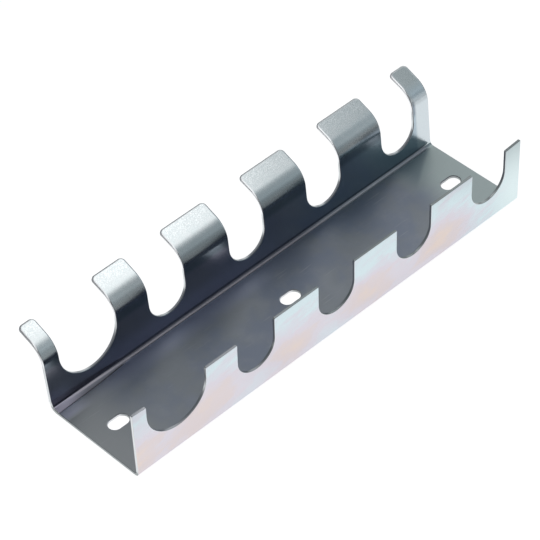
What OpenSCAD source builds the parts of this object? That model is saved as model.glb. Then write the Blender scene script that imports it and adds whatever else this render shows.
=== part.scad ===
// Screwdriver rack folded from one blank of zinc-plated sheet steel.
// A flat base carries three slots. The low front wall and the taller rear wall are cut with
// the same row of round-bottomed notches, and every tab of the rear wall curls outwards into
// a flat-tipped hook. The sheet is divided along its bend lines, one sub-part per flat or bend.
// X runs along the rack, Y from the front wall to the rear wall, Z up from the underside.
// The origin is the middle of the row of slots, on the underside.

/* [Sheet] */
// Length of the rack
rack_l = 250; // [240:1:320]
// Width of the base over its two outside corners
base_w = 60; // [48:1:90]
// Thickness of the sheet
sheet = 1.5; // [1:0.1:2.5]
// Inside radius of the two long folds beside the base
fold_r = 1; // [0.5:0.1:3]

/* [Front wall] */
// Height of the front wall above the underside, measured up its outer face
front_h = 39; // [34:0.5:50]
// Angle at which the front wall leans outwards
front_lean = 2; // [0:0.5:8]
// Height of the lowest point of the front notches above the underside, up the outer face
front_floor = 15; // [8:0.5:16]

/* [Rear wall] */
// Flat height of the rear wall above the base, up to where the hooks start to curl
rear_flat = 27.3; // [26:0.1:40]
// Angle at which the rear wall leans outwards
rear_lean = 3.5; // [0:0.5:8]
// Height of the lowest point of the rear notches above the top of the base
rear_floor = 7.8; // [5:0.1:8.5]

/* [Notches] */
// Number of equal notches, after the wide one at the near end
notch_count = 4; // [2:1:4]
// Width of the equal notches
notch_w = 23.2; // [18:0.1:27]
// Width of the wide notch at the near end
wide_notch_w = 35; // [28:0.5:37]
// Width of the tab at the near end
near_tab_w = 8.2; // [7:0.1:14]
// Width of the tab between the wide notch and the first equal one
second_tab_w = 19.3; // [12:0.1:26]
// Width of the tab at the far end
far_tab_w = 10.4; // [7:0.1:14]

/* [Hooks] */
// Inside radius of the curl
curl_r = 11; // [6:0.5:16]
// Angle that the curl turns through
curl_turn = 64; // [40:1:90]
// Length of the flat tip beyond the curl
tip_l = 8.8; // [4:0.1:16]
// Radius of the two corners of each tip
tip_corner_r = 2.5; // [0.5:0.1:3]

/* [Mounting slots] */
// Number of slots, evenly spaced
slot_count = 3; // [2:1:5]
// Distance of the first slot's centre from the near end
near_slot_inset = 15.5; // [10:0.5:20]
// Distance of the last slot's centre from the far end
far_slot_inset = 14.5; // [10:0.5:20]
// Distance of the slots' centre line from the outside of the front wall
slot_back = 31.2; // [24:0.1:34]
// Width of a slot
slot_w = 6.5; // [4:0.1:9]
// Length of a slot, end to end
slot_l = 11; // [10:0.1:18]

/* [Hidden] */
$fn = 96;
// Overrun of every cut past the sheet
over = 1;

// The row of slots, and the near end and outside front corner of the base, seen from the origin
slot_span = rack_l - near_slot_inset - far_slot_inset;
slot_pitch = slot_span / (slot_count - 1);
near_x = -near_slot_inset - slot_span / 2;
front_y = -slot_back;
rear_y = front_y + base_w;

// Each fold turns from the base to its wall; its flats begin where the arc ends
fold_out_r = fold_r + sheet;
front_turn = 90 - front_lean;
rear_turn = 90 - rear_lean;
front_setback = fold_out_r * tan(front_turn / 2);
rear_setback = fold_r * tan(rear_turn / 2);
flat_front_y = front_y + front_setback;
flat_rear_y = rear_y - sheet - rear_setback;

// The equal notches leave equal tabs between them in the rest of the length
equal_from = near_tab_w + wide_notch_w + second_tab_w;
middle_tab_w = (rack_l - equal_from - notch_count * notch_w - far_tab_w) / (notch_count - 1);
notch_pitch = notch_w + middle_tab_w;

// Middles and widths of all the notches, from the near end
notch_mid = concat([near_tab_w + wide_notch_w / 2],
    [for (k = [0:notch_count - 1]) equal_from + notch_w / 2 + k * notch_pitch]);
notch_size = concat([wide_notch_w], [for (k = [1:notch_count]) notch_w]);
notch_last = notch_count;

// The tabs that the notches leave between them
tab_from = concat([0], [for (k = [0:notch_last]) notch_mid[k] + notch_size[k] / 2]);
tab_to = concat([for (k = [0:notch_last]) notch_mid[k] - notch_size[k] / 2], [rack_l]);

base_grey = [0.47, 0.5, 0.52];
front_grey = [0.86, 0.87, 0.89];
rear_grey = [0.22, 0.24, 0.28];
hook_grey = [0.72, 0.75, 0.76];

// A bend with its axis along X, starting at an angle from +Y and turning towards +Z
module bend(from, turn) {
    rotate([90, 0, 90]) rotate(from) rotate_extrude(angle = turn)
        translate([fold_r, 0]) square([sheet, rack_l]);
}

// Stands a drawing up as the front wall: x along the rack, y up the wall's outer face
module on_front_wall() {
    translate([near_x, front_y, 0]) rotate([90 + front_lean, 0, 0])
        translate([0, 0, -sheet]) children();
}

// Stands a drawing up as the rear wall: x along the rack, y up the wall's inner face
module on_rear_wall() {
    translate([near_x, rear_y - sheet, sheet]) rotate([90 - rear_lean, 0, 0])
        translate([0, 0, -sheet]) children();
}

// The row of notches: half-round floors with straight sides up past the top edge
module notch_row(floor_h, top_h) {
    for (k = [0:notch_last]) {
        r = notch_size[k] / 2;
        translate([notch_mid[k], floor_h + r]) circle(r);
        translate([notch_mid[k] - r, floor_h + r]) square([notch_size[k], top_h - floor_h + over]);
    }
}

// A slot with round ends, along X, about its own centre
module slot_outline() {
    r = slot_w / 2;
    reach = slot_l / 2 - r;
    for (side = [-1, 1]) translate([side * reach, 0]) circle(r);
    translate([-reach, -r]) square([2 * reach, slot_w]);
}

// Outline of a hook's flat tip, with its two far corners rounded
module tip_outline(w) {
    square([w, tip_l - tip_corner_r]);
    translate([tip_corner_r, 0]) square([w - 2 * tip_corner_r, tip_l]);
    for (x = [tip_corner_r, w - tip_corner_r]) translate([x, tip_l - tip_corner_r]) circle(tip_corner_r);
}

module base_plate() {
    color(base_grey) difference() {
        translate([near_x, flat_front_y, 0]) cube([rack_l, flat_rear_y - flat_front_y, sheet]);
        for (k = [0:slot_count - 1])
            translate([k * slot_pitch - slot_span / 2, 0, -over])
                linear_extrude(sheet + 2 * over) slot_outline();
    }
}

module front_fold() {
    color(front_grey) translate([near_x, flat_front_y, fold_out_r]) bend(270 - front_turn, front_turn);
}

module rear_fold() {
    color(rear_grey) translate([near_x, flat_rear_y, fold_out_r]) bend(270, rear_turn);
}

module front_wall() {
    color(front_grey) on_front_wall() linear_extrude(sheet) difference() {
        translate([0, front_setback]) square([rack_l, front_h - front_setback]);
        notch_row(front_floor, front_h);
    }
}

module rear_wall() {
    color(rear_grey) on_rear_wall() linear_extrude(sheet) difference() {
        translate([0, rear_setback]) square([rack_l, rear_flat - rear_setback]);
        notch_row(rear_floor, rear_flat);
    }
}

// Puts its children at the near side of tab k, on the axis about which the hook curls
module at_curl(k) {
    on_rear_wall() translate([tab_from[k], rear_flat, -curl_r]) children();
}

// The curl of the hook on tab k, which rolls away from the inside of the rack
module hook_curl(k) {
    if (k < len(tab_from)) {
        w = tab_to[k] - tab_from[k];
        color(hook_grey) at_curl(k) translate([w, 0, 0]) rotate([0, -90, 0])
            rotate_extrude(angle = curl_turn) translate([curl_r, 0]) square([sheet, w]);
    }
}

// The flat tip beyond the curl of the hook on tab k
module hook_tip(k) {
    if (k < len(tab_from))
        color(hook_grey) at_curl(k) rotate([-curl_turn, 0, 0]) translate([0, 0, curl_r])
            linear_extrude(sheet) tip_outline(tab_to[k] - tab_from[k]);
}

base_plate();
front_fold();
rear_fold();
front_wall();
rear_wall();
hook_curl(0);  // hook_1_curl
hook_tip(0);  // hook_1_tip
hook_curl(1);  // hook_2_curl
hook_tip(1);  // hook_2_tip
hook_curl(2);  // hook_3_curl
hook_tip(2);  // hook_3_tip
hook_curl(3);  // hook_4_curl
hook_tip(3);  // hook_4_tip
hook_curl(4);  // hook_5_curl
hook_tip(4);  // hook_5_tip
hook_curl(5);  // hook_6_curl
hook_tip(5);  // hook_6_tip
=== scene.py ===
"""A screwdriver rack folded from one blank of zinc-plated sheet steel, in a plain white studio."""

import math

import bpy
from mathutils import Matrix, Vector
from mathutils.geometry import delaunay_2d_cdt


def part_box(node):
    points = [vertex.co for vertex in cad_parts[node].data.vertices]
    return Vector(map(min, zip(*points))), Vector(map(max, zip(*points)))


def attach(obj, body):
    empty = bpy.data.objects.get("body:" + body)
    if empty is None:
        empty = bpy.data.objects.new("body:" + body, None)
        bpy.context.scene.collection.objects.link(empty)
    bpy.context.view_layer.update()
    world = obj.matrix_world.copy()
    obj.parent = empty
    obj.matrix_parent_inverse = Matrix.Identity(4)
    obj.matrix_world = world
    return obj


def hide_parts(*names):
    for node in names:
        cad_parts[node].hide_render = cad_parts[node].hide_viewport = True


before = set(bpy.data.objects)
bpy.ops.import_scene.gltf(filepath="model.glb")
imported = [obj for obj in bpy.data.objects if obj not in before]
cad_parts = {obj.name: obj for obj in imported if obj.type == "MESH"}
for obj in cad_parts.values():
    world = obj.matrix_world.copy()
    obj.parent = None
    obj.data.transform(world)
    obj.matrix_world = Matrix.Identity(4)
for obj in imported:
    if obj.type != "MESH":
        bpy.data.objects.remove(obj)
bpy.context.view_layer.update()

# Sizes of the blank and its bends, in millimetres and degrees. They are the solids' own, apart from the rear
# fold's radius, the tips' length and the slots' width, which follow the photograph more closely.
MM = 0.001
RACK_L = 250
BASE_W = 60
SHEET = 1.5
FOLD_R = 1
REAR_FOLD_R = 2
FRONT_H = 39
FRONT_LEAN = 2
FRONT_FLOOR = 15
REAR_FLAT = 27.3
REAR_LEAN = 3.5
REAR_FLOOR = 7.8
NOTCH_COUNT = 4
NOTCH_W = 23.2
WIDE_NOTCH_W = 35
NEAR_TAB_W = 8.2
SECOND_TAB_W = 19.3
FAR_TAB_W = 10.4
CURL_R = 11
CURL_TURN = 64
TIP_L = 9.2
TIP_CORNER_R = 2.5
SLOT_W = 6.9
SLOT_L = 11
SLOT_PITCH = 110

# The sheared corners, and the width and depth of the roll-over of the punched edges on each face
SHEARED_CORNER_R = 0.5
FLAT_ROLL = (0.4, 0.4)
TIP_ROLL = (1.05, 0.6)
OUTSIDE_ROLL = 0.2

# As in the photograph, the hooks are a little wider than the low wall's tabs and reach past both ends of the
# rack, and the notches between them are less deep
HOOK_WIDENING = 0.5
NEAR_OVERHANG = 0.55
FAR_OVERHANG = 0.3
REAR_LIFT = 0.3
# A point of the rear wall's near end, in the developed sheet: the wall widens quickly above the fold
REAR_WALL_SHOULDER = (-0.5, 3)
# How far the slots lie off their even places, along the rack and then, for each slot, across it
SLOT_SHIFT = 0.2
SLOT_SHIFTS_ACROSS = ((-1, -0.3), (0, 0.3), (1, 0.1))

# The low wall's end tabs: how much taller they stand, how far the near one leans in, and how far from the near
# and the far end this begins
END_TAB_RISE = 1.1
NEAR_TAB_LEAN = 1.1
NEAR_TAB_REACH = 43
FAR_TAB_REACH = 15

# The strip into which the rear fold opens at its near end: how much of it there is at places along the rack,
# its slope, the angle of the plain fold that it takes up, its foot in the section, and how far the foot's end
# stays inside the end of the base
FLARE_AMOUNTS = ((0, 1), (26, 0.68), (48, 0))
FLARE_SLOPE = math.radians(12)
FLARE_KNEE = math.radians(50)
FLARE_FOOT = (22.95, 1.52)
FLARE_TUCK = 0.05

# Steps of the round outlines and bends, and lengths that count as nothing
ARC_STEP = math.radians(5)
BEND_STEP = math.radians(4)
ROLL_STEPS = 4
TINY = 1e-6
NET_TINY = 1e-5

# The near end of the base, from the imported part, and its outside front corner
NEAR_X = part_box("base_plate")[0].x / MM
FRONT_Y = -31.2


class Stretch:
    """One flat or bend of the section, which runs in the (y, z) plane along the inside face."""

    def __init__(self, start, heading, length, turn=0):
        self.start = start
        self.heading = heading
        self.length = length
        self.turn = turn

    def point(self, s):
        """Place on the inside face at length s, with the directions along the section and out."""
        angle = self.heading + self.turn * s / self.length
        y, z = self.start
        if self.turn:
            radius = self.length / self.turn
            y += radius * (math.sin(angle) - math.sin(self.heading))
            z -= radius * (math.cos(angle) - math.cos(self.heading))
        else:
            y += s * math.cos(angle)
            z += s * math.sin(angle)
        along = Vector((0, math.cos(angle), math.sin(angle)))
        out = Vector((0, math.sin(angle), -math.cos(angle)))
        return Vector((0, y, z)), along, out

    def next(self, length, turn=0):
        """The stretch that follows this one."""
        end = self.point(self.length)[0]
        return Stretch((end.y, end.z), self.heading + self.turn, length, turn)


def section():
    """The seven flats and bends of the sheet, from the front wall's top edge to the hooks' ends."""
    front_turn = math.radians(90 - FRONT_LEAN)
    rear_turn = math.radians(90 - REAR_LEAN)
    front_setback = (FOLD_R + SHEET) * math.tan(front_turn / 2)
    rear_setback = REAR_FOLD_R * math.tan(rear_turn / 2)
    lean = math.radians(FRONT_LEAN)
    top = (FRONT_Y - FRONT_H * math.sin(lean) + SHEET * math.cos(lean),
           FRONT_H * math.cos(lean) + SHEET * math.sin(lean))
    front_wall = Stretch(top, -front_turn, FRONT_H - front_setback)
    front_fold = front_wall.next(FOLD_R * front_turn, front_turn)
    base = front_fold.next(BASE_W - SHEET - front_setback - rear_setback)
    rear_fold = base.next(REAR_FOLD_R * rear_turn, rear_turn)
    rear_wall = rear_fold.next(REAR_FLAT - rear_setback)
    curl_turn = math.radians(CURL_TURN)
    curl = rear_wall.next((CURL_R + SHEET) * curl_turn, -curl_turn)
    tip = curl.next(TIP_L)
    return front_wall, front_fold, base, rear_fold, rear_wall, curl, tip


FRONT_WALL, FRONT_FOLD, BASE, REAR_FOLD, REAR_WALL, CURL, TIP = section()


def notches():
    """Middle and width of every notch, from the near end."""
    equal_from = NEAR_TAB_W + WIDE_NOTCH_W + SECOND_TAB_W
    tab_w = (RACK_L - equal_from - NOTCH_COUNT * NOTCH_W - FAR_TAB_W) / (NOTCH_COUNT - 1)
    found = [(NEAR_TAB_W + WIDE_NOTCH_W / 2, WIDE_NOTCH_W)]
    for k in range(NOTCH_COUNT):
        found.append((equal_from + NOTCH_W / 2 + k * (NOTCH_W + tab_w), NOTCH_W))
    return found


def hook_tabs():
    """Near and far side of every hook."""
    tabs = [(tab_from, tab_to + HOOK_WIDENING) for tab_from, tab_to in TABS]
    tabs[0] = (-NEAR_OVERHANG, tabs[0][1])
    tabs[-1] = (TABS[-1][0] - HOOK_WIDENING, RACK_L + FAR_OVERHANG)
    return tabs


NOTCHES = notches()
TABS = list(zip([0] + [mid + w / 2 for mid, w in NOTCHES], [mid - w / 2 for mid, w in NOTCHES] + [RACK_L]))
HOOK_TABS = hook_tabs()


def arc(cu, cs, radius, start, end):
    """Points of an arc in the developed sheet, in degrees."""
    turn = math.radians(end - start)
    steps = max(2, round(abs(turn) / ARC_STEP))
    angles = [math.radians(start) + turn * i / steps for i in range(steps + 1)]
    return [(cu + radius * math.cos(a), cs + radius * math.sin(a)) for a in angles]


def front_wall_outline():
    """The front wall in the developed sheet: length s runs down from its top edge."""
    corner = SHEARED_CORNER_R
    points = [(RACK_L, FRONT_WALL.length), (0, FRONT_WALL.length)]
    for k, (tab_from, tab_to) in enumerate(TABS):
        if k:
            mid, w = NOTCHES[k - 1]
            points += arc(mid, FRONT_H - FRONT_FLOOR - w / 2, w / 2, 180, 0)
        points += arc(tab_from + corner, corner, corner, 180, 270)
        points += arc(tab_to - corner, corner, corner, 270, 360)
    return points


def rear_wall_outline():
    """The rear wall in the developed sheet: length s runs up from the fold."""
    floor_s = REAR_FLOOR - (REAR_FLAT - REAR_WALL.length)
    points = [(0, 0), (RACK_L, 0)]
    for k in range(len(HOOK_TABS) - 1, -1, -1):
        tab_from, tab_to = HOOK_TABS[k]
        points += [(tab_to, REAR_WALL.length), (tab_from, REAR_WALL.length)]
        if k:
            before = HOOK_TABS[k - 1][1]
            mid_s = floor_s + REAR_LIFT + NOTCHES[k - 1][1] / 2
            points += arc((before + tab_from) / 2, mid_s, (tab_from - before) / 2, 0, -180)
    return points + [REAR_WALL_SHOULDER]


def strip_outline(stretch, u_from, u_to, columns=()):
    """A rectangle across the whole stretch, with points along its sides where it bends, and at its columns."""
    steps = max(1, round(abs(stretch.turn) / BEND_STEP))
    side = [stretch.length * i / steps for i in range(steps + 1)]
    return ([(u_to, s) for s in side] + [(u, stretch.length) for u in reversed(columns)]
            + [(u_from, s) for s in reversed(side)] + [(u, 0) for u in columns])


def tip_outline(u_from, u_to):
    """A hook's flat tip with its two rounded corners."""
    r = TIP_CORNER_R
    return ([(u_from, 0), (u_to, 0)] + arc(u_to - r, TIP.length - r, r, 0, 90)
            + arc(u_from + r, TIP.length - r, r, 90, 180))


def slot_outline(u, s):
    """A slot with round ends, as a hole: it runs the other way round."""
    reach = (SLOT_L - SLOT_W) / 2
    r = SLOT_W / 2
    return arc(u + reach, s, r, 90, -90) + arc(u - reach, s, r, -90, -270)


def edge_profile(roll):
    """The rim of the sheet, as inset, depth and tilt of the surface, from the inside face to the outside."""
    width, deep = roll
    rows = []
    for i in range(ROLL_STEPS + 1):
        turn = math.pi / 2 * (1 - i / ROLL_STEPS)
        tilt = math.atan2(width * math.sin(turn), deep * math.cos(turn))
        rows.append((width * (1 - math.cos(turn)), deep * (1 - math.sin(turn)), tilt))
    for i in range(ROLL_STEPS + 1):
        tilt = math.pi / 2 * i / ROLL_STEPS
        rows.append((OUTSIDE_ROLL * (1 - math.cos(tilt)), SHEET - OUTSIDE_ROLL * (1 - math.sin(tilt)), -tilt))
    return rows


def without_repeats(points):
    """The closed outline without neighbours that coincide."""
    kept = []
    for p in points:
        if not kept or math.dist(p, kept[-1]) > TINY:
            kept.append(p)
    if math.dist(kept[0], kept[-1]) < TINY:
        kept.pop()
    return kept


def outward(p, q):
    """The direction in the sheet that points out of it, square to the edge from p to q."""
    du, ds = q[0] - p[0], q[1] - p[1]
    size = math.hypot(du, ds)
    return ds / size, -du / size


def within(border, triangles):
    """The triangles that lie on steel: the border's steps run round the steel with it on their left."""
    beside = {}
    for triangle in triangles:
        for a, b in zip(triangle, triangle[1:] + triangle[:1]):
            beside[a, b] = triangle
    waiting = [beside[step] for step in border]
    found = set()
    while waiting:
        triangle = waiting.pop()
        if triangle not in found:
            found.add(triangle)
            for a, b in zip(triangle, triangle[1:] + triangle[:1]):
                if (a, b) not in border:
                    waiting.append(beside[b, a])
    return found


class SheetPiece:
    """One flat or bend of the sheet, made from its developed outline, with rounded free edges.

    A seam is an end of the stretch where the next piece carries on. Columns are places along a bend, also in
    its outline, that get points of their own, which shape, a function of the piece, may then move.
    """

    def __init__(self, name, stretch, loops, seam_start=True, seam_end=True, rolls=(FLAT_ROLL, FLAT_ROLL),
                 columns=(), shape=None):
        self.name = name
        self.rolls = rolls
        self.columns = columns
        self.shape = shape
        self.stretch = stretch
        self.loops = [without_repeats(loop) for loop in loops]
        self.seams = [s for s, is_seam in ((0, seam_start), (stretch.length, seam_end)) if is_seam]
        self.verts = []
        self.normals = []
        self.faces = []
        self.kinds = []

    def profile_at(self, s):
        """The rim's profile at length s, where the roll-over changes from the stretch's start to its end."""
        part = s / self.stretch.length
        return edge_profile([a + (b - a) * part for a, b in zip(*self.rolls)])

    def on_seam(self, p, q):
        return any(abs(p[1] - s) < TINY and abs(q[1] - s) < TINY for s in self.seams)

    def rim_directions(self, loop):
        """For each point, which way is out of the sheet, and how much longer a corner makes it.

        A point with a seam on both sides has none.
        """
        found = []
        for i, p in enumerate(loop):
            before, after = loop[i - 1], loop[(i + 1) % len(loop)]
            sides = [outward(a, b) for a, b in ((before, p), (p, after)) if not self.on_seam(a, b)]
            if not sides:
                found.append((0, 0))
                continue
            mean_u = sum(side[0] for side in sides) / len(sides)
            mean_s = sum(side[1] for side in sides) / len(sides)
            scale = mean_u * mean_u + mean_s * mean_s
            found.append((mean_u / scale, mean_s / scale))
        return found

    def add_vert(self, u, s, depth, tilt, rim):
        place, along, out = self.stretch.point(s)
        place += out * depth
        self.verts.append(Vector((NEAR_X + u, place.y, place.z)) * MM)
        side = Vector((rim[0], 0, 0)) + along * rim[1]
        normal = side.normalized() * math.cos(tilt) - out * math.sin(tilt)
        self.normals.append(normal.normalized())
        return len(self.verts) - 1

    def add_face(self, face, kind):
        self.faces.append(face)
        self.kinds.append(kind)

    def add_rims(self):
        """Rows of points round every outline, and the faces between them at the free edges."""
        self.rows = []
        for loop in self.loops:
            rims = self.rim_directions(loop)
            columns = []
            for (u, s), (ru, rs) in zip(loop, rims):
                columns.append([self.add_vert(u - inset * ru, s - inset * rs, depth, tilt, (ru, rs))
                                for inset, depth, tilt in self.profile_at(s)])
            rows = list(zip(*columns))
            self.rows.append(rows)
            for i in range(len(loop)):
                j = (i + 1) % len(loop)
                if self.on_seam(loop[i], loop[j]):
                    across = [row[i] for row in rows] + [row[j] for row in reversed(rows)]
                    self.add_face(across, "seam")
                else:
                    for a, b in zip(rows, rows[1:]):
                        self.add_face((a[i], b[i], b[j], a[j]), "rim")

    def add_flats(self):
        """The two faces of the sheet, which share one net of triangles."""
        flat, inner, outer, border, creases = [], [], [], [], []
        for loop, rows in zip(self.loops, self.rows):
            start = len(flat)
            rims = self.rim_directions(loop)
            insets = [self.profile_at(s)[0][0] for _, s in loop]
            for inset, (u, s), (ru, rs) in zip(insets, loop, rims):
                flat.append(Vector((u - inset * ru, s - inset * rs)))
            inner += rows[0]
            outer += rows[-1]
            border += [(start + i, start + (i + 1) % len(loop)) for i in range(len(loop))]
        if self.stretch.turn:
            # The outline runs up the far side and down the near one, and the creases join the two
            loop = self.loops[0]
            far = [i for i, (u, _) in enumerate(loop) if u == max(loop)[0]]
            near = [i for i, (u, _) in enumerate(loop) if u == min(loop)[0]]
            creases += zip(far[1:-1], reversed(near[1:-1]))
            for column in self.columns:
                line = [loop.index((column, 0)), loop.index((column, self.stretch.length))]
                for i in far[1:-1]:
                    s = loop[i][1]
                    line.insert(-1, len(flat))
                    flat.append(Vector((column, s)))
                    inner.append(self.add_vert(column, s, 0, math.pi / 2, (0, 0)))
                    outer.append(self.add_vert(column, s, SHEET, -math.pi / 2, (0, 0)))
                creases += zip(line, line[1:])
        _, _, triangles, origins, _, _ = delaunay_2d_cdt(flat, border + creases, [], 0, NET_TINY)
        triangles = [tuple(origins[i][0] for i in triangle) for triangle in triangles]
        on_steel = within(set(border), triangles)
        for triangle in triangles:
            if triangle in on_steel:
                self.add_face([inner[i] for i in triangle], "inside")
                self.add_face([outer[i] for i in reversed(triangle)], "outside")

    def make(self, face_material, rim_material, node):
        """The finished object, which stands for its node."""
        self.add_rims()
        self.add_flats()
        if self.shape:
            self.shape(self)
        mesh = bpy.data.meshes.new(self.name)
        mesh.from_pydata(self.verts, [], self.faces)
        mesh.materials.append(face_material)
        mesh.materials.append(rim_material)
        for polygon, kind in zip(mesh.polygons, self.kinds):
            polygon.use_smooth = True
            polygon.material_index = 1 if kind == "rim" else 0
        normals = []
        for polygon, kind in zip(mesh.polygons, self.kinds):
            for i in polygon.vertices:
                normals.append(polygon.normal if kind == "seam" else self.normals[i])
        mesh.normals_split_custom_set(normals)
        side = mesh.attributes.new("inside_face", "FLOAT", "FACE")
        side.data.foreach_set("value", [float(kind == "inside") for kind in self.kinds])
        piece = bpy.data.objects.new(self.name, mesh)
        bpy.context.scene.collection.objects.link(piece)
        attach(piece, "root")
        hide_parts(node)
        return piece


def flare(fold):
    """As in the photograph, the inside of the rear fold opens into a sloping strip at its near end."""
    turn = REAR_FOLD.turn
    centre_y, centre_z = REAR_FOLD.start[0], REAR_FOLD.start[1] + REAR_FOLD_R
    end = REAR_FOLD.point(REAR_FOLD.length)[0]
    foot_y, foot_z = FLARE_FOOT
    rise = math.tan(FLARE_SLOPE)
    # The radius of the bend that is left between the strip and the wall, and the strip's width
    arc_y = math.sin(turn) - math.sin(FLARE_SLOPE)
    arc_z = math.cos(FLARE_SLOPE) - math.cos(turn)
    radius = (end.z - foot_z - (end.y - foot_y) * rise) / (arc_z - arc_y * rise)
    width = end.y - foot_y - radius * arc_y
    for i, vert in enumerate(fold.verts):
        u = vert.x / MM - NEAR_X
        amount = next((amount for place, amount in FLARE_AMOUNTS if abs(u - place) < 1), 0)
        dy, dz = vert.y / MM - centre_y, centre_z - vert.z / MM
        # The outside of the fold stays as it is, and the points within the sheet move in proportion
        amount *= (REAR_FOLD_R + SHEET - math.hypot(dy, dz)) / SHEET
        angle = math.atan2(dy, dz)
        part = max(0, angle - FLARE_KNEE) / (turn - FLARE_KNEE)
        slope = FLARE_SLOPE + (turn - FLARE_SLOPE) * part
        along = width * min(1, angle / FLARE_KNEE)
        y = foot_y + along + radius * (math.sin(slope) - math.sin(FLARE_SLOPE))
        z = foot_z + along * rise + radius * (math.cos(FLARE_SLOPE) - math.cos(slope))
        plain_y = centre_y + REAR_FOLD_R * math.sin(angle)
        plain_z = centre_z - REAR_FOLD_R * math.cos(angle)
        tuck = FLARE_TUCK * (1 - angle / turn)
        vert += Vector((tuck, y - plain_y, z - plain_z)) * (amount * MM)
        fold.normals[i] = Matrix.Rotation((slope - angle) * amount, 3, "X") @ fold.normals[i]


def shape_end_tabs(wall):
    """As in the photograph, the low wall's end tabs stand a little taller, and the near one leans inwards."""
    foot = FOLD_R + SHEET
    for vert in wall.data.vertices:
        u = vert.co.x / MM - NEAR_X
        height = max(0, (vert.co.z / MM - foot) / (FRONT_H - foot))
        near = max(0, 1 - u / NEAR_TAB_REACH)
        far = max(0, 1 - (RACK_L - u) / FAR_TAB_REACH)
        lean = NEAR_TAB_LEAN * near * height * (2 - height)
        vert.co += Vector((0, lean, END_TAB_RISE * max(near, far) * height)) * MM


class Nodes:
    """Short calls for a material's node tree."""

    def __init__(self, tree):
        self.tree = tree
        tree.nodes.clear()

    def add(self, kind, inputs=None, **settings):
        node = self.tree.nodes.new(kind)
        for key, value in settings.items():
            setattr(node, key, value)
        for key, value in (inputs or {}).items():
            self.set(node.inputs[key], value)
        return node

    def set(self, socket, value):
        if isinstance(value, bpy.types.NodeSocket):
            self.tree.links.new(value, socket)
        else:
            socket.default_value = value

    def math(self, operation, a, b=0.0, c=0.0, clamp=False):
        return self.add("ShaderNodeMath", {0: a, 1: b, 2: c}, operation=operation, use_clamp=clamp).outputs[0]

    def ramp(self, value, low, high):
        """From 0 at low to 1 at high, smoothly."""
        node = self.add("ShaderNodeMapRange", {"Value": value, "From Min": low, "From Max": high},
                        interpolation_type="SMOOTHSTEP")
        return node.outputs["Result"]

    def mix(self, factor, a, b):
        """From colour a to colour b, through the sockets that a Mix node has for colours."""
        node = self.add("ShaderNodeMix", data_type="RGBA")
        self.set(node.inputs[0], factor)
        self.set(node.inputs[6], a)
        self.set(node.inputs[7], b)
        return node.outputs[2]

    def product(self, *factors):
        """All the factors multiplied."""
        result = factors[0]
        for factor in factors[1:]:
            result = self.math("MULTIPLY", result, factor)
        return result

    def noise(self, place, scale, detail, roughness):
        """A cloudy pattern between 0 and 1."""
        return self.add("ShaderNodeTexNoise", {"Vector": place, "Scale": scale, "Detail": detail,
                                               "Roughness": roughness}).outputs["Fac"]


def new_material(name):
    material = bpy.data.materials.new(name)
    material.use_nodes = True
    return material, Nodes(material.node_tree)


# In the materials, places are in metres in the part's own frame, and the two numbers of a ramp are where a
# shade begins and where it is full.

# Shades of the passivated zinc, from the thinnest film to the thickest, and at the far end
FILM_CYAN = (0.62, 0.73, 0.765, 1)
FILM_BLUE = (0.635, 0.66, 0.715, 1)
FILM_LILAC = (0.655, 0.62, 0.675, 1)
FILM_PINK = (0.67, 0.60, 0.61, 1)
FILM_PEACH = (0.715, 0.61, 0.56, 1)
FILM_FAR_END = (0.70, 0.81, 0.82, 1)
# How far in millimetres the bands lie to the near side of the tabs' middles, and how fine the streaks and the
# flecks in them are
FILM_SHIFT = 4
FILM_STREAKS = (24, 75)
FILM_FLECKS = (5, 2.2, 1)

# Shades of the base, the inside of the rear wall and the hooks
BASE_BLUE = (0.455, 0.50, 0.60, 1)
BASE_OLIVE = (0.52, 0.55, 0.585, 1)
BASE_BLOTCH = (0.575, 0.605, 0.66, 1)
# A painted sheen on the base by the rear fold, towards the near end
BASE_FOLD_SHEEN = (0.74, 0.77, 0.92, 1)
BASE_FAR = (0.73, 0.82, 0.81, 1)
BASE_NEAR = (0.65, 0.67, 0.68, 1)
# Painted shade on the base near the far end
BASE_FAR_SHADE = (0.36, 0.44, 0.49, 1)
BASE_SCRATCH = (0.80, 0.82, 0.84, 1)
# A painted highlight on the base at the near end, beside the rear fold
BASE_PAINTED_HIGHLIGHT = (0.86, 0.86, 0.99, 1)
# The rear wall's navy tint, kept darker than the hooks as painted shade
WALL_NAVY = (0.385, 0.385, 0.46, 1)
WALL_TEAL = (0.40, 0.485, 0.54, 1)
# A painted highlight at the near end of the wall
WALL_NEAR_HIGHLIGHT = (0.45, 0.455, 0.53, 1)
# Painted shade along the top of the wall, below the curls
WALL_TOP_SHADE = (0.24, 0.285, 0.33, 1)
HOOK_DARK = (0.58, 0.625, 0.63, 1)
HOOK_PALE = (0.625, 0.655, 0.66, 1)
# Bright specks towards the tips: a mottle of the plate that also stands in as a painted glint
HOOK_SPECK_GLINT = (0.86, 0.89, 0.89, 1)
# Painted shade at the feet of the far hooks
HOOK_FAR_FOOT_SHADE = (0.26, 0.30, 0.33, 1)
# A painted highlight on the curls towards the near end, and painted shade on the middle curls
HOOK_NEAR_CURL_HIGHLIGHT = (0.76, 0.84, 0.86, 1)
HOOK_MIDDLE_CURL_SHADE = (0.49, 0.545, 0.56, 1)
FAR_END_LOW = (0.61, 0.67, 0.70, 1)
FAR_END_HIGH = (0.595, 0.63, 0.625, 1)

# Painted light and shade of the rear fold, which shows as a line between the base and the wall: the dark shades
# stand in for shade in the bend and its crease, the pale ones for the light along it
FOLD_NEAR_DARK = (0.18, 0.185, 0.215, 1)
FOLD_NEAR_PALE = (0.31, 0.30, 0.335, 1)
FOLD_FLARE = (0.40, 0.385, 0.47, 1)
FOLD_TOP = (0.2, 0.2, 0.24, 1)
FOLD_CREASE_SHADE = (0.07, 0.07, 0.085, 1)
FOLD_FAR_DARK = (0.22, 0.25, 0.28, 1)
FOLD_FAR_PALE = (0.62, 0.62, 0.66, 1)
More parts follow.
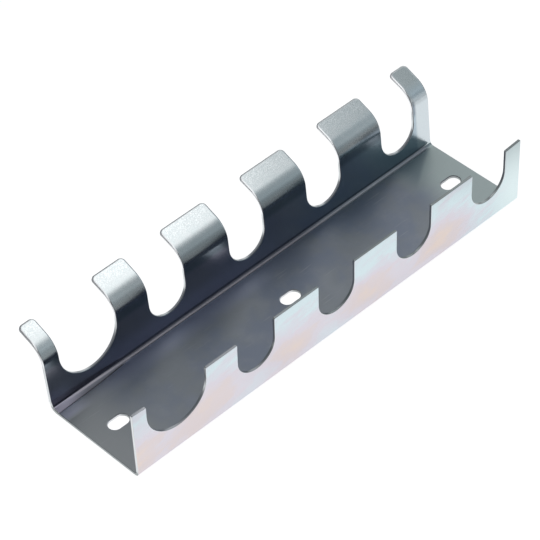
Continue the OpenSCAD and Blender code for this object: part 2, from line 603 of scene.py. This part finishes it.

# Shades of the cut edges: their own grey with shear marks, the slots' walls, and painted shade and highlights
# by place and by the way an edge faces
EDGE_DARK = (0.62, 0.65, 0.66, 1)
EDGE_PALE = (0.74, 0.76, 0.77, 1)
# Painted shade on the low wall's edges that face up, along the rack and at the near end
EDGE_TOP_MIDDLE = (0.29, 0.325, 0.335, 1)
EDGE_TOP_FAR = (0.42, 0.46, 0.46, 1)
EDGE_TOP_NEAR = (0.38, 0.40, 0.425, 1)
EDGE_TOP_NEAR_END = (0.52, 0.54, 0.57, 1)
# The slots' inner walls, with painted shade in the far slot
EDGE_SLOT = (0.70, 0.71, 0.73, 1)
EDGE_FAR_SLOT_SHADE = (0.36, 0.37, 0.38, 1)
# Painted shade on the hooks' edges that face the far end, and a painted highlight on those that face the near
# end
EDGE_HOOK_FAR_SIDE_SHADE = (0.30, 0.32, 0.34, 1)
EDGE_HOOK_NEAR_SIDE_HIGHLIGHT = (0.95, 0.96, 0.97, 1)
# Painted shade on the low cut edges that face the near end
EDGE_NEAR_END_SHADE = (0.33, 0.355, 0.36, 1)


def film_colour(n, x, z, warp):
    """The sheen of the outside faces: pale cyan at the free edges, pink and peach in the middle of each tab."""
    pitch = (NOTCHES[-1][0] - NOTCHES[-2][0]) * MM
    tab_mid = (NEAR_X + (TABS[-2][0] + TABS[-2][1]) / 2 - FILM_SHIFT) * MM
    wave = n.math("COSINE", n.product(n.math("SUBTRACT", x, tab_mid), 2 * math.pi / pitch))
    height = n.math("MULTIPLY_ADD", n.math("SUBTRACT", warp, 0.5), 0.02, z)
    foot = n.math("MULTIPLY_ADD", n.ramp(height, 0.001, 0.011), 0.5, 0.5)
    band = n.product(foot, n.ramp(height, 0.033, 0.013))
    along = n.product(n.ramp(x, 0.116, 0.08), n.math("MULTIPLY_ADD", wave, 0.26, 0.64))
    slope = n.math("MULTIPLY_ADD", x, -0.2, z)
    drift = n.add("ShaderNodeCombineXYZ", {0: n.product(x, FILM_STREAKS[0]),
                                           1: n.product(slope, FILM_STREAKS[1])}).outputs[0]
    streak = n.noise(drift, 1, 4, 0.6)
    finer = n.add("ShaderNodeVectorMath", {0: drift, 1: FILM_FLECKS}, operation="MULTIPLY").outputs[0]
    fleck = n.noise(finer, 1, 3, 0.6)
    thick = n.product(band, along)
    thick = n.math("MULTIPLY_ADD", n.math("SUBTRACT", streak, 0.5), 1.1, thick)
    thick = n.math("MULTIPLY_ADD", n.math("SUBTRACT", fleck, 0.5), 0.4, thick)
    thick = n.math("ADD", thick, n.product(n.ramp(x, 0.1, 0.06), 0.12))
    thick = n.math("ADD", thick, n.product(n.ramp(x, -0.085, -0.11), 0.15))
    colour = n.mix(n.ramp(thick, 0.05, 0.3), FILM_CYAN, FILM_BLUE)
    colour = n.mix(n.ramp(thick, 0.28, 0.55), colour, FILM_LILAC)
    colour = n.mix(n.ramp(thick, 0.55, 0.8), colour, FILM_PINK)
    colour = n.mix(n.ramp(thick, 0.82, 1.15), colour, FILM_PEACH)
    return n.mix(n.ramp(x, 0.1, 0.122), colour, FILM_FAR_END)


def scratches(n, place):
    """Sparse thin handling marks, in two directions."""
    marks = 0.0
    for turn, seed in ((0.5, 0.0), (-0.9, 3.0)):
        turned = n.add("ShaderNodeMapping", {"Vector": place, "Location": (seed, 0, 0),
                                             "Rotation": (0, 0, turn), "Scale": (45, 700, 1)}).outputs[0]
        marks = n.math("ADD", n.ramp(n.noise(turned, 1, 2, 0.5), 0.66, 0.76), marks)
    return marks


def base_colour(n, place, x, y, cloud):
    """The top of the base: blue and olive clouds, paler to both ends, and scratched, with a painted sheen by
    the rear fold, painted shade near the far end and a painted highlight at the near end.
    """
    colour = n.mix(n.ramp(cloud, 0.4, 0.62), BASE_BLUE, BASE_OLIVE)
    blotch = n.ramp(n.noise(place, 75, 5, 0.6), 0.45, 0.7)
    colour = n.mix(n.product(blotch, 0.6), colour, BASE_BLOTCH)
    # A painted sheen by the rear fold, paler and lilac towards the near end
    fold_sheen = n.product(n.ramp(y, 0.012, 0.022), n.ramp(x, 0.06, -0.04))
    colour = n.mix(fold_sheen, colour, BASE_FOLD_SHEEN)
    colour = n.mix(n.ramp(x, 0.087, 0.111), colour, BASE_FAR)
    colour = n.mix(n.ramp(x, -0.08, -0.12), colour, BASE_NEAR)
    # Painted shade near the far end, with one straight, slanted side
    slant = n.math("MULTIPLY_ADD", y, -1.53, x)
    shade = n.product(n.ramp(slant, 0.084, 0.079), n.ramp(y, 0.002, 0.014), 0.5, n.ramp(x, 0.092, 0.104))
    colour = n.mix(shade, colour, BASE_FAR_SHADE)
    colour = n.mix(n.product(scratches(n, place), 0.35), colour, BASE_SCRATCH)
    # A painted highlight at the near end, beside the rear fold
    painted_highlight = n.product(n.ramp(x, -0.105, -0.122), n.ramp(y, 0.0155, 0.0195))
    return n.mix(painted_highlight, colour, BASE_PAINTED_HIGHLIGHT)


def wall_colour(n, x, z):
    """The inside of the rear wall: navy, darker than the hooks as painted shade, teal to the far end, with a
    painted highlight at the near end and painted shade along the top, below the hooks.
    """
    # Navy, darker than the hooks as painted shade, and teal to the far end
    colour = n.mix(n.ramp(x, -0.02, 0.11), WALL_NAVY, WALL_TEAL)
    # A painted highlight at the near end
    colour = n.mix(n.ramp(x, -0.1, -0.12), colour, WALL_NEAR_HIGHLIGHT)
    # Painted shade along the top of the wall, below the hooks
    return n.mix(n.ramp(z, 0.023, 0.027), colour, WALL_TOP_SHADE)


def hook_colour(n, place, x, y, z, fine):
    """The top of the hooks: a fine grain, bright specks towards the tips that also stand in as a painted glint,
    painted shade at the far feet, and on the curls a painted highlight to the near end and painted shade in the
    middle.
    """
    colour = n.mix(n.ramp(fine, 0.35, 0.65), HOOK_DARK, HOOK_PALE)
    # Bright specks towards the tips, a mottle that also stands in as a painted glint
    speck_glint = n.ramp(n.noise(place, 2100, 2, 0.7), 0.5, 0.6)
    colour = n.mix(n.product(speck_glint, n.ramp(y, 0.034, 0.042)), colour, HOOK_SPECK_GLINT)
    # Painted shade at the feet of the far hooks
    far_foot_shade = n.product(n.ramp(x, 0.072, 0.083), n.ramp(z, 0.0345, 0.032))
    colour = n.mix(far_foot_shade, colour, HOOK_FAR_FOOT_SHADE)
    # Painted light on the curls: a highlight towards the near end and shade in the middle
    on_curl = n.ramp(z, 0.039, 0.036)
    colour = n.mix(n.product(n.ramp(x, -0.05, -0.12), on_curl), colour, HOOK_NEAR_CURL_HIGHLIGHT)
    middle = n.product(n.ramp(x, 0.075, 0.055), on_curl)
    return n.mix(n.product(n.ramp(x, -0.06, -0.03), middle), colour, HOOK_MIDDLE_CURL_SHADE)


def fold_painted_light(n, x, y, z, flared):
    """The inside of the rear fold, in painted light and shade: a dim line that brightens to the far end, and
    the strip at the near end with painted shade in its crease.
    """
    low = n.ramp(z, 0.0028, 0.0022)
    near = n.mix(n.ramp(y, 0.0257, 0.0261), FOLD_NEAR_DARK, FOLD_NEAR_PALE)
    near = n.mix(n.ramp(x, -0.105, -0.123), near, FOLD_FLARE)
    near = n.mix(low, FOLD_TOP, near)
    # Painted shade in the crease at the strip's foot
    crease = n.product(flared, n.ramp(z, 0.00163, 0.00157))
    near = n.mix(crease, near, FOLD_CREASE_SHADE)
    far = n.mix(n.product(low, n.ramp(y, 0.0261, 0.0265)), FOLD_FAR_DARK, FOLD_FAR_PALE)
    return n.mix(n.ramp(x, 0.02, 0.08), near, far)


def inside_colour(n, place, x, y, z, cloud, fine):
    """The inside faces: the base, the wall, the hooks, the paler far end and, over them, the rear fold's
    painted light and shade.
    """
    base = base_colour(n, place, x, y, cloud)
    colour = n.mix(n.ramp(z, 0.0016, 0.003), base, wall_colour(n, x, z))
    colour = n.mix(n.ramp(z, 0.0303, 0.033), colour, hook_colour(n, place, x, y, z, fine))
    far_end = n.mix(n.ramp(z, 0.036, 0.039), FAR_END_LOW, FAR_END_HIGH)
    far_end = n.mix(n.ramp(z, 0.002, 0.004), base, far_end)
    colour = n.mix(n.ramp(x, 0.1145, 0.1165), colour, far_end)
    below_wall = n.ramp(z, 0.0036, 0.0032)
    flared = n.product(n.ramp(z, 0.001502, 0.001510), n.ramp(x, -0.08, -0.085))
    on_fold = n.math("MAXIMUM", n.product(n.ramp(y, 0.0252, 0.0256), below_wall), n.product(flared, below_wall))
    return n.mix(n.product(on_fold, n.ramp(x, 0.1225, 0.1185)), colour, fold_painted_light(n, x, y, z, flared))


def zinc_material():
    """Bright zinc plate: a clear grey metal with a soft gloss and a faint sheen of colours."""
    material, n = new_material("zinc_plate")
    place = n.add("ShaderNodeTexCoord").outputs["Object"]
    x, y, z = n.add("ShaderNodeSeparateXYZ", {0: place}).outputs
    inside = n.add("ShaderNodeAttribute", attribute_name="inside_face").outputs["Fac"]
    cloud = n.noise(place, 34, 4, 0.55)
    fine = n.noise(place, 420, 4, 0.65)
    colour = n.mix(inside, film_colour(n, x, z, cloud), inside_colour(n, place, x, y, z, cloud, fine))
    # The gloss is duller on the base, and a little duller on the hooks
    on_base = n.product(inside, n.ramp(z, 0.003, 0.0016))
    on_hooks = n.product(inside, n.ramp(z, 0.031, 0.033))
    rough = n.math("MULTIPLY_ADD", on_base, 0.31, 0.21)
    rough = n.math("MULTIPLY_ADD", on_hooks, 0.06, rough)
    rough = n.math("MULTIPLY_ADD", n.math("SUBTRACT", fine, 0.5), 0.08, rough)
    grain = n.add("ShaderNodeBump", {"Height": fine, "Strength": 0.02, "Distance": 0.00005})
    # The base swells by a hair beside the strip at the near end, which shows as a faint sheen
    swell = n.product(n.math("MAXIMUM", n.math("SUBTRACT", y, 0.0165), 0.0), n.ramp(x, -0.108, -0.122))
    on_base_top = n.ramp(z, 0.001518, 0.001512)
    swell = n.product(swell, n.product(on_base_top, 0.14), inside)
    bump = n.add("ShaderNodeBump", {"Height": swell, "Strength": 1.0, "Distance": 1.0,
                                    "Normal": grain.outputs["Normal"]})
    shader = n.add("ShaderNodeBsdfPrincipled", {"Base Color": colour, "Roughness": rough, "Metallic": 1.0,
                                                "Normal": bump.outputs["Normal"]})
    n.add("ShaderNodeOutputMaterial", {"Surface": shader.outputs[0]})
    return material


def edge_material():
    """The punched edge under the same plate: bright with fine shear marks, with painted shade where it faces up
    on the low wall, in the far slot, on the hooks' far sides and at the near end, and a painted highlight on
    the hooks' near sides.
    """
    material, n = new_material("zinc_cut_edge")
    place = n.add("ShaderNodeTexCoord").outputs["Object"]
    x, y, z = n.add("ShaderNodeSeparateXYZ", {0: place}).outputs
    normal = n.add("ShaderNodeNewGeometry").outputs["Normal"]
    facing_x, _, facing_z = n.add("ShaderNodeSeparateXYZ", {0: normal}).outputs
    colour = n.mix(n.noise(place, 1500, 3, 0.6), EDGE_DARK, EDGE_PALE)
    on_low_wall = n.ramp(y, -0.027, -0.029)
    # Painted shade where the low wall's edges face up
    top = n.mix(n.ramp(x, 0.02, 0.09), EDGE_TOP_MIDDLE, EDGE_TOP_FAR)
    top = n.mix(n.ramp(x, -0.02, -0.07), top, EDGE_TOP_NEAR)
    top = n.mix(n.ramp(x, -0.1, -0.115), top, EDGE_TOP_NEAR_END)
    colour = n.mix(n.product(n.ramp(facing_z, 0.2, 0.7), on_low_wall), colour, top)
    # The slots' inner walls, with painted shade in the far slot
    by_slots = n.ramp(n.math("ABSOLUTE", y), 0.0055, 0.0045)
    in_slot = n.product(by_slots, n.ramp(n.math("ABSOLUTE", x), 0.121, 0.118))
    colour = n.mix(in_slot, colour, n.mix(n.ramp(x, 0.05, 0.1), EDGE_SLOT, EDGE_FAR_SLOT_SHADE))
    on_hooks = n.product(n.ramp(z, 0.026, 0.03), n.math("SUBTRACT", 1, on_low_wall))
    # Painted shade on the hooks' edges that face the far end, a painted highlight on those that face the near
    # end
    colour = n.mix(n.product(on_hooks, n.ramp(facing_x, 0.1, 0.6)), colour, EDGE_HOOK_FAR_SIDE_SHADE)
    colour = n.mix(n.product(on_hooks, n.ramp(facing_x, -0.1, -0.6)), colour, EDGE_HOOK_NEAR_SIDE_HIGHLIGHT)
    # Painted shade on the low edges that face the near end
    near_end_shade = n.product(n.ramp(facing_x, -0.3, -0.8), n.ramp(z, 0.004, 0.002))
    colour = n.mix(near_end_shade, colour, EDGE_NEAR_END_SHADE)
    shader = n.add("ShaderNodeBsdfPrincipled", {"Base Color": colour, "Roughness": 0.3, "Metallic": 1.0})
    n.add("ShaderNodeOutputMaterial", {"Surface": shader.outputs[0]})
    return material


def build_rack():
    """All the flats and bends of the sheet: the base with its folds and walls, and the hooks."""
    zinc = zinc_material()
    edge = edge_material()
    slots = [slot_outline(-NEAR_X + k * SLOT_PITCH + SLOT_SHIFT, across - BASE.start[0])
             for k, across in SLOT_SHIFTS_ACROSS]
    flare_places = [place for place, _ in FLARE_AMOUNTS[1:]]
    front_wall = SheetPiece("front_wall_sheet", FRONT_WALL, [front_wall_outline()], seam_start=False)
    front_fold = SheetPiece("front_fold_sheet", FRONT_FOLD, [strip_outline(FRONT_FOLD, 0, RACK_L)])
    base = SheetPiece("base_sheet", BASE, [strip_outline(BASE, 0, RACK_L)] + slots)
    rear_fold = SheetPiece("rear_fold_sheet", REAR_FOLD, [strip_outline(REAR_FOLD, 0, RACK_L, flare_places)],
                           columns=flare_places, shape=flare)
    rear_wall = SheetPiece("rear_wall_sheet", REAR_WALL, [rear_wall_outline()])
    body = [front_wall.make(zinc, edge, "front_wall"),
            front_fold.make(zinc, edge, "front_fold"),
            base.make(zinc, edge, "base_plate"),
            rear_fold.make(zinc, edge, "rear_fold"),
            rear_wall.make(zinc, edge, "rear_wall")]
    shape_end_tabs(body[0])
    hooks = []
    for k, (u_from, u_to) in enumerate(HOOK_TABS, 1):
        curl = SheetPiece(f"hook_{k}_curl_sheet", CURL, [strip_outline(CURL, u_from, u_to)],
                          rolls=(FLAT_ROLL, TIP_ROLL))
        hooks.append(curl.make(zinc, edge, f"hook_{k}_curl"))
        tip = SheetPiece(f"hook_{k}_tip_sheet", TIP, [tip_outline(u_from, u_to)], seam_end=False,
                         rolls=(TIP_ROLL, TIP_ROLL))
        hooks.append(tip.make(zinc, edge, f"hook_{k}_tip"))
    return body, hooks


# The camera, from the photograph: place and aim in metres, roll in degrees, lens and sensor in millimetres
CAMERA_PLACE = Vector((-0.6331, -0.7052, 0.9422))
CAMERA_AIM = Vector((-0.0095, 0.0027, 0.0247))
CAMERA_ROLL = -3.7
CAMERA_LENS = 187.86
CAMERA_SENSOR = 36

# The softbox hangs over the rack, turned about the upright, and fades out in layers. In its own axes, each
# layer has its right end, its front, its back and its radiance.
SOFTBOX_TURN = math.radians(25)
SOFTBOX_LEFT = -0.9
SOFTBOX_Z = 0.34
SOFTBOX_GAP = 0.005
SOFTBOX_LAYERS = ((0.155, -0.11, 0.06, 0.45), (0.18, -0.16, 0.09, 0.41), (0.255, -0.216, 0.12, 0.38))
UNLIT = ("base_sheet", "rear_wall_sheet")

# The cards that the hooks reflect: the heights in degrees between which each is seen, and its radiance. They
# lie this far along the rack and this far round it, for each metre of distance, from the middle of the curls.
HOOK_CARDS = ((0, 34, 0.15), (22, 60, 0.18), (40, 100, 0.14))
CARD_ALONG = 0.475
CARD_ROUND = 0.88
CARD_COLOUR = (0.95, 1.0, 1.02)
CURL_PLACE = (0.03, 0.035)

# The floor's paint, and its glow: to the camera, and in the steel, which sees it dimmer far from the rack
FLOOR_HALF = 4
FLOOR_Z = -0.0001
FLOOR_PAINT = (0.5, 0.5, 0.5, 1)
FLOOR_GLOW = 0.85
FLOOR_DIMMING = 0.73
FLOOR_PALE_SPOT = (0.23, -0.1, 0)

# The studio's walls in the steel
STUDIO_FRONT = (0.05, 0.055, 0.065, 1)
STUDIO_BACK = (0.24, 0.25, 0.265, 1)
STUDIO_RIGHT_FRONT = (0.24, 0.32, 0.37, 1)
STUDIO_RIGHT_BACK = (0.78, 0.8, 0.8, 1)
STUDIO_HORIZON = (0.2, 0.21, 0.22, 1)
WHITE = (1, 1, 1, 1)


def facing(place, aim):
    """The turn of a camera or lamp at place that looks at aim."""
    return (aim - place).to_track_quat("-Z", "Y").to_matrix().to_4x4()


def make_camera():
    camera = bpy.data.objects.new("camera", bpy.data.cameras.new("camera"))
    bpy.context.scene.collection.objects.link(camera)
    camera.data.lens = CAMERA_LENS
    camera.data.sensor_width = CAMERA_SENSOR
    roll = Matrix.Rotation(math.radians(CAMERA_ROLL), 4, "Z")
    camera.matrix_world = Matrix.Translation(CAMERA_PLACE) @ facing(CAMERA_PLACE, CAMERA_AIM) @ roll
    bpy.context.scene.camera = camera


def make_lamp(name, place, aim, size, radiance, lit):
    """A soft rectangular lamp, which lights only the pieces in lit."""
    data = bpy.data.lights.new(name, "AREA")
    data.shape = "RECTANGLE"
    data.size, data.size_y = size
    data.energy = radiance * math.pi * size[0] * size[1]
    lamp = bpy.data.objects.new(name, data)
    bpy.context.scene.collection.objects.link(lamp)
    lamp.matrix_world = Matrix.Translation(place) @ facing(place, aim)
    lamp.visible_camera = False
    group = bpy.data.collections.new(name + "_lit")
    for piece in lit:
        group.objects.link(piece)
    lamp.light_linking.receiver_collection = group
    return lamp


def make_hook_card(low, high, radiance, lit, x=0, distance=1.3, width=1.6):
    """A glowing card beyond the low wall, between two heights in degrees as the hooks at x see it."""
    seen_from = Vector((x, *CURL_PLACE))
    ends = []
    for angle in (math.radians(low), math.radians(high)):
        y, z = -CARD_ROUND * math.cos(angle), CARD_ROUND * math.sin(angle)
        ends.append(Vector((CARD_ALONG, y, z)) * distance)
    middle = (ends[0] + ends[1]) / 2 + seen_from
    height = (ends[1] - ends[0]).length
    lamp = make_lamp(f"hook_card_{high}", middle, seen_from, (width, height), radiance, lit)
    lamp.data.color = CARD_COLOUR


def make_softbox(layer, right, front, back, radiance, lit):
    """One layer of the softbox, from its left end to right, and from front to back, in its own turned axes."""
    size = (right - SOFTBOX_LEFT, back - front)
    middle = Vector(((right + SOFTBOX_LEFT) / 2, (front + back) / 2, SOFTBOX_Z + layer * SOFTBOX_GAP))
    lamp = make_lamp(f"softbox_{layer}", middle, middle - Vector((0, 0, 1)), size, radiance, lit)
    lamp.matrix_world = Matrix.Rotation(SOFTBOX_TURN, 4, "Z") @ Matrix.Translation(middle)


def make_floor():
    """A plain white floor that shows white to the camera and in the steel, and keeps the shadow."""
    corners = [(x * FLOOR_HALF, y * FLOOR_HALF, FLOOR_Z) for x, y in ((-1, -1), (1, -1), (1, 1), (-1, 1))]
    mesh = bpy.data.meshes.new("floor")
    mesh.from_pydata(corners, [], [(0, 1, 2, 3)])
    floor = bpy.data.objects.new("floor", mesh)
    bpy.context.scene.collection.objects.link(floor)
    material, n = new_material("floor_white")
    path = n.add("ShaderNodeLightPath")
    seen = n.math("ADD", path.outputs["Is Camera Ray"], path.outputs["Is Glossy Ray"])
    seen = n.math("ADD", seen, path.outputs["Is Transmission Ray"], clamp=True)
    place = n.add("ShaderNodeTexCoord").outputs["Object"]
    oval = n.add("ShaderNodeVectorMath", {0: place, 1: (0.35, 1, 1)}, operation="MULTIPLY").outputs[0]
    from_rack = n.add("ShaderNodeVectorMath", {0: oval}, operation="LENGTH").outputs["Value"]
    from_spot = n.add("ShaderNodeVectorMath", {0: place, 1: FLOOR_PALE_SPOT}, operation="DISTANCE")
    away = n.product(n.ramp(from_rack, 0.06, 0.1), n.ramp(from_spot.outputs["Value"], 0.04, 0.08))
    in_steel = n.math("MULTIPLY_ADD", away, -FLOOR_DIMMING, FLOOR_GLOW)
    level = n.mix(path.outputs["Is Camera Ray"], in_steel, (FLOOR_GLOW, FLOOR_GLOW, FLOOR_GLOW, 1))
    glow = n.add("ShaderNodeEmission", {"Color": level, "Strength": seen})
    paint = n.add("ShaderNodeBsdfDiffuse", {"Color": FLOOR_PAINT})
    both = n.add("ShaderNodeAddShader", {0: glow.outputs[0], 1: paint.outputs[0]})
    n.add("ShaderNodeOutputMaterial", {"Surface": both.outputs[0]})
    mesh.materials.append(material)
    return floor


def make_world():
    """Dim studio walls for the steel to reflect, paler behind and to the right, and white to the camera."""
    world = bpy.data.worlds.new("studio")
    bpy.context.scene.world = world
    world.use_nodes = True
    n = Nodes(world.node_tree)
    ray = n.add("ShaderNodeTexCoord").outputs["Generated"]
    x, y, z = n.add("ShaderNodeSeparateXYZ", {0: ray}).outputs
    walls = n.mix(n.ramp(y, -0.2, 0.5), STUDIO_FRONT, STUDIO_BACK)
    right = n.mix(n.ramp(y, -0.2, 0.3), STUDIO_RIGHT_FRONT, STUDIO_RIGHT_BACK)
    walls = n.mix(n.ramp(x, 0.49, 0.56), walls, right)
    walls = n.mix(n.ramp(z, 0.3, 0.02), walls, STUDIO_HORIZON)
    camera_ray = n.add("ShaderNodeLightPath").outputs["Is Camera Ray"]
    background = n.add("ShaderNodeBackground", {"Color": n.mix(camera_ray, walls, WHITE), "Strength": 1.0})
    n.add("ShaderNodeOutputWorld", {"Surface": background.outputs[0]})


body, hooks = build_rack()
make_camera()
floor = make_floor()
make_world()
softbox_lit = [piece for piece in body if piece.name not in UNLIT] + hooks + [floor]
for layer, (right, front, back, radiance) in enumerate(SOFTBOX_LAYERS):
    make_softbox(layer, right, front, back, radiance, softbox_lit)
for low, high, radiance in HOOK_CARDS:
    make_hook_card(low, high, radiance, hooks)
# A small card close by, low down, for the far hook alone
make_hook_card(-8, 12, 0.38, hooks[-2:], x=0.12, distance=0.25, width=0.2)
bpy.context.scene.view_settings.view_transform = "Standard"
